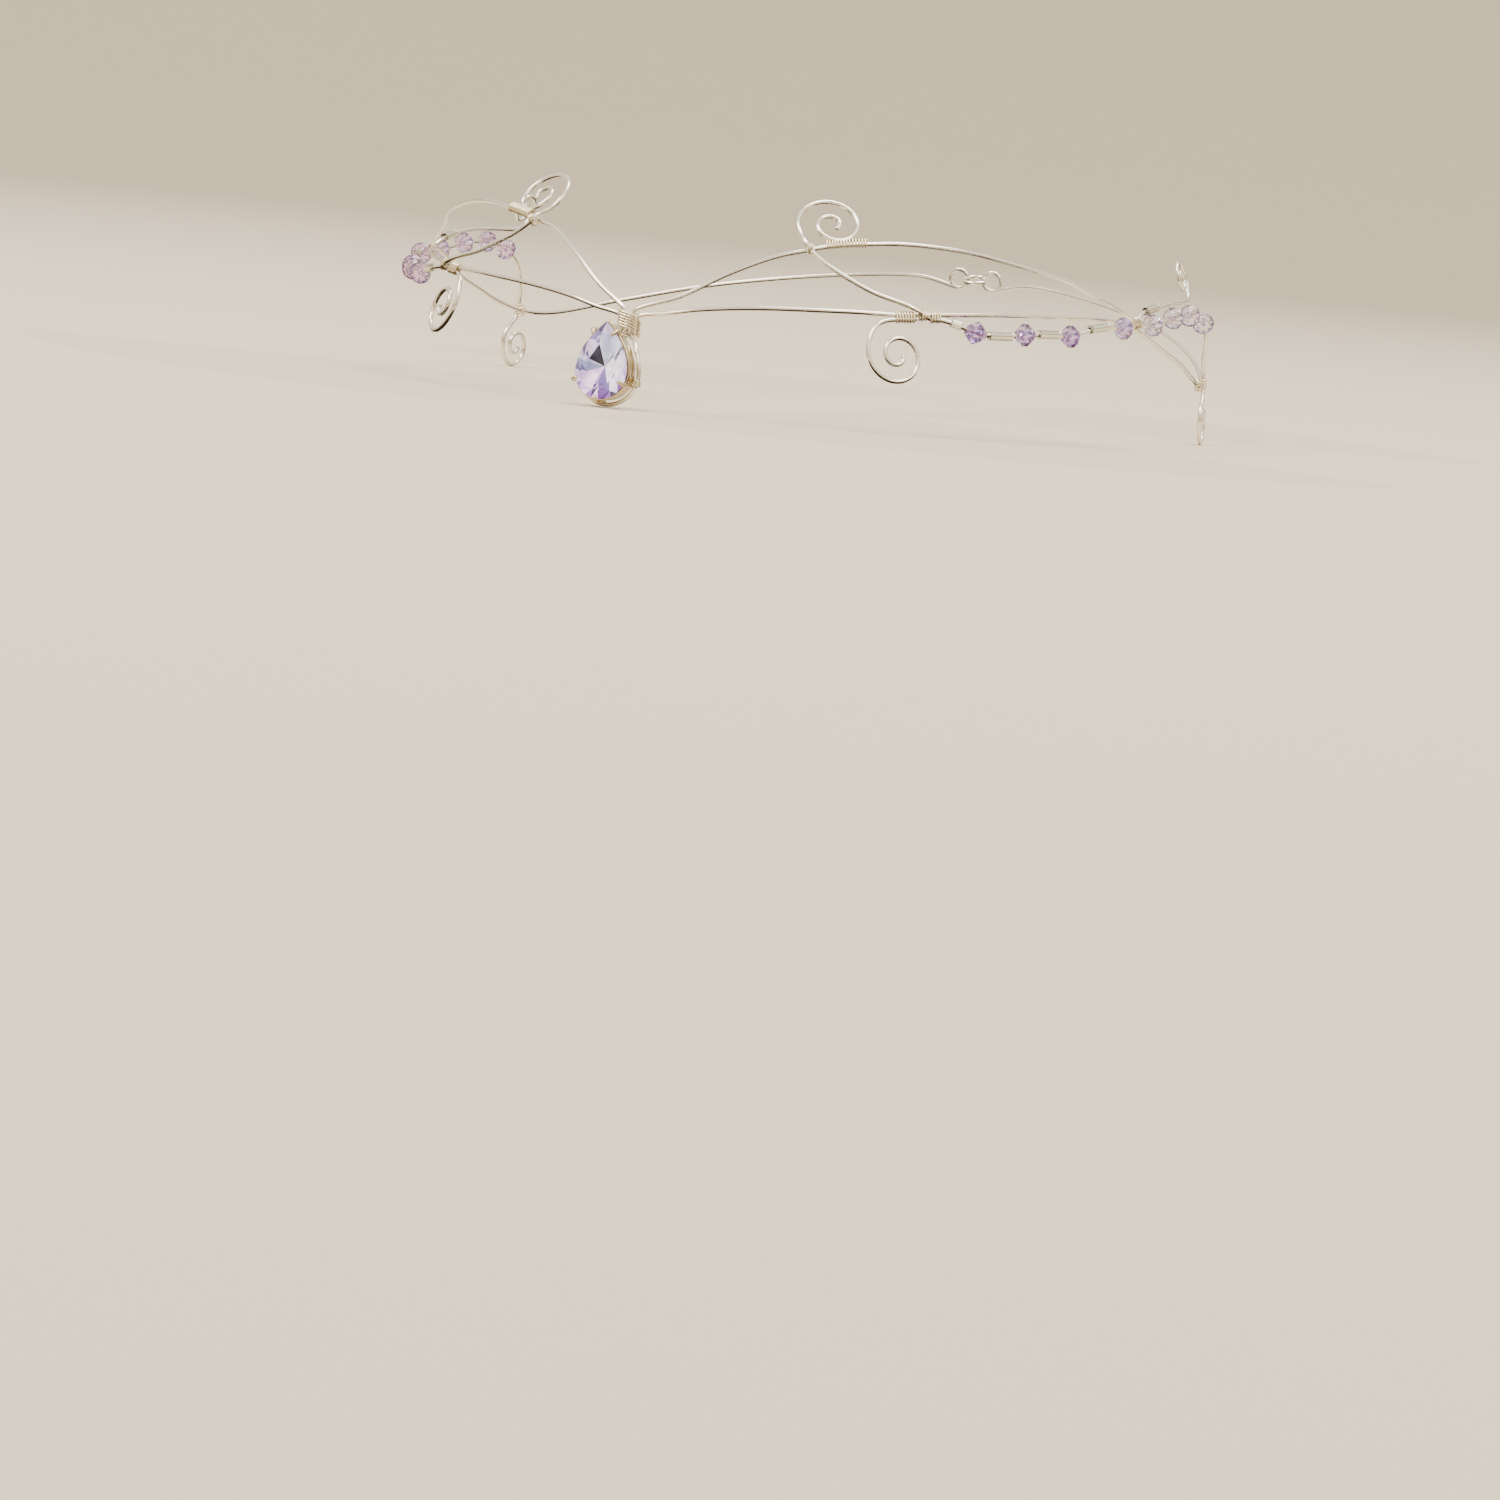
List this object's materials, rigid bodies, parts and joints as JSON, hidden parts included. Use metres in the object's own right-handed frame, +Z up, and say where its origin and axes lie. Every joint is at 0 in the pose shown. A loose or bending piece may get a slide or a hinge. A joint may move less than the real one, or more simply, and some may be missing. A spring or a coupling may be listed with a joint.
{
  "type": "wire circlet",
  "caption": "Fine silver wire circlet with a pear crystal on the brow, curls at the temples and strands of lavender beads on both sides.",
  "frame": {"origin": "middle of the footprint, on the surface that the circlet stands on: below the middle of its overall box", "axes": "+Z up, the brow pendant faces -Y, +X is the wearer's left"},
  "size_m": [0.1526, 0.2034, 0.0404],
  "materials": {
    "silver_wire": "polished silver-plated copper wire",
    "crystal": "faceted, foil-backed",
    "lavender_bead": "faceted, clear lavender",
    "silver_lined_glass": "clear tube with a silvered bore"
  },
  "bodies": {
    "root": {"centre_stone": "crystal", "stone_setting": "silver_wire", "pendant_frame_wire": "silver_wire", "frame_binding": "silver_wire", "centre_coil": "silver_wire", "clasp_ring": "silver_wire", "left_upper_wire": "silver_wire", "left_lower_wire": "silver_wire", "left_upper_curl_wire": "silver_wire", "left_lower_curl_wire": "silver_wire", "left_upper_wrap": "silver_wire", "left_lower_wrap": "silver_wire", "left_cross_wrap": "silver_wire", "left_side_wrap": "silver_wire", "left_rear_wrap": "silver_wire", "left_bead_1": "lavender_bead", "left_bead_2": "lavender_bead", "left_bead_3": "lavender_bead", "left_bead_4": "lavender_bead", "left_bead_5": "lavender_bead", "left_bead_6": "lavender_bead", "left_bead_7": "lavender_bead", "left_bead_8": "lavender_bead", "left_bugle_1": "silver_lined_glass", "left_bugle_2": "silver_lined_glass", "left_bugle_3": "silver_lined_glass", "left_bugle_4": "silver_lined_glass", "left_spacer": "silver_lined_glass", "right_upper_wire": "silver_wire", "right_lower_wire": "silver_wire", "right_upper_curl_wire": "silver_wire", "right_lower_curl_wire": "silver_wire", "right_upper_wrap": "silver_wire", "right_lower_wrap": "silver_wire", "right_cross_wrap": "silver_wire", "right_side_wrap": "silver_wire", "right_rear_wrap": "silver_wire", "right_bead_1": "lavender_bead", "right_bead_2": "lavender_bead", "right_bead_3": "lavender_bead", "right_bead_4": "lavender_bead", "right_bead_5": "lavender_bead", "right_bead_6": "lavender_bead", "right_bead_7": "lavender_bead", "right_bead_8": "lavender_bead", "right_bugle_1": "silver_lined_glass", "right_bugle_2": "silver_lined_glass", "right_bugle_3": "silver_lined_glass", "right_bugle_4": "silver_lined_glass", "right_spacer": "silver_lined_glass"}
  },
  "joints": []
}
